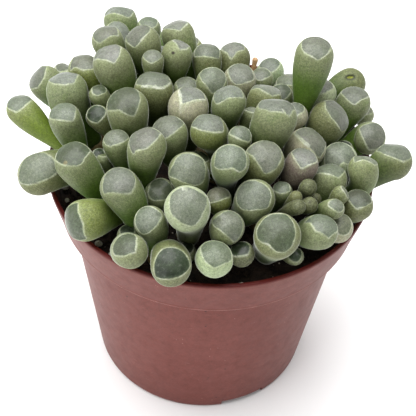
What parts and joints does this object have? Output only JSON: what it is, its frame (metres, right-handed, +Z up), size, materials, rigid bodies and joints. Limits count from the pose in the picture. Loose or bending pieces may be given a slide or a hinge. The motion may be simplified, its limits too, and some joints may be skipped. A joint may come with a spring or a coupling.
{
  "type": "potted baby toes",
  "caption": "Baby toes succulent, a low clump of club-shaped windowed leaves, in a tapered plastic nursery pot with a collared rim.",
  "frame": {"origin": "in the plane of the foot ring, under the middle of the whole clump's box; the pot's own axis stands at x 1.31 mm, y 0.78 mm", "axes": "+Z up along the pot's axis, -Y towards the side seen in front, +X to the right"},
  "size_m": [0.0804, 0.0718, 0.0754],
  "materials": {
    "pot_plastic": "semi-matte moulded plastic, reddish brown",
    "peat": "coarse dark peat mix, matte",
    "perlite": "white porous grains, matte",
    "leaf": "fleshy leaf with a pale waxy bloom"
  },
  "bodies": {
    "root": {"pot": "pot_plastic", "soil": "peat", "perlite_1": "perlite", "perlite_2": "perlite", "perlite_3": "perlite", "perlite_4": "perlite", "perlite_5": "perlite", "perlite_6": "perlite", "rosette_01": "leaf", "rosette_02": "leaf", "rosette_03": "leaf", "rosette_04": "leaf", "rosette_05": "leaf", "rosette_06": "leaf", "rosette_07": "leaf", "rosette_08": "leaf", "rosette_09": "leaf", "rosette_10": "leaf", "rosette_11": "leaf", "rosette_12": "leaf", "rosette_13": "leaf", "rosette_14": "leaf", "rosette_15": "leaf", "rosette_16": "leaf", "rosette_17": "leaf", "rosette_18": "leaf", "rosette_19": "leaf", "rosette_20": "leaf", "rosette_21": "leaf", "rosette_22": "leaf", "rosette_23": "leaf", "rosette_24": "leaf", "rosette_25": "leaf", "rosette_26": "leaf", "rosette_27": "leaf", "rosette_28": "leaf", "rosette_29": "leaf", "rosette_30": "leaf", "rosette_31": "leaf", "rosette_32": "leaf", "rosette_33": "leaf", "rosette_34": "leaf", "rosette_35": "leaf", "rosette_36": "leaf", "rosette_37": "leaf", "rosette_38": "leaf", "rosette_39": "leaf", "rosette_40": "leaf", "rosette_41": "leaf", "rosette_42": "leaf"}
  },
  "joints": []
}
